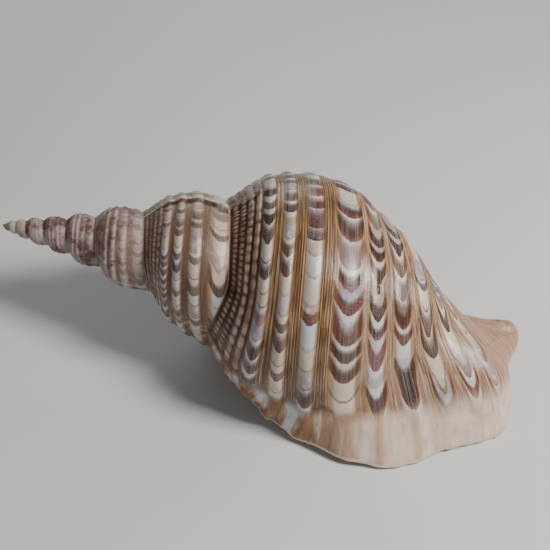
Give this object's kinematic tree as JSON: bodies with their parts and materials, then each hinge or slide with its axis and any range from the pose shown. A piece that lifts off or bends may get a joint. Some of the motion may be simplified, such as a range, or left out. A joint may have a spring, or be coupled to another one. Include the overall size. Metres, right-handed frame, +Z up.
{
  "type": "triton's trumpet shell",
  "caption": "Large spiral sea shell with a tall pointed spire, ribbed whorls, a wide flared lip and an open aperture, resting on its lip.",
  "frame": {"origin": "middle of the bounding box, on the surface that the shell lies on", "axes": "+X along the coiling axis from the apex towards the siphonal canal, +Z up, the lip's flared edge towards -Y"},
  "size_m": [0.385, 0.1884, 0.1451],
  "materials": {
    "shell": "satin, glazed on the last whorl and inside the lip"
  },
  "bodies": {
    "root": {"triton_shell": "shell"}
  },
  "joints": []
}
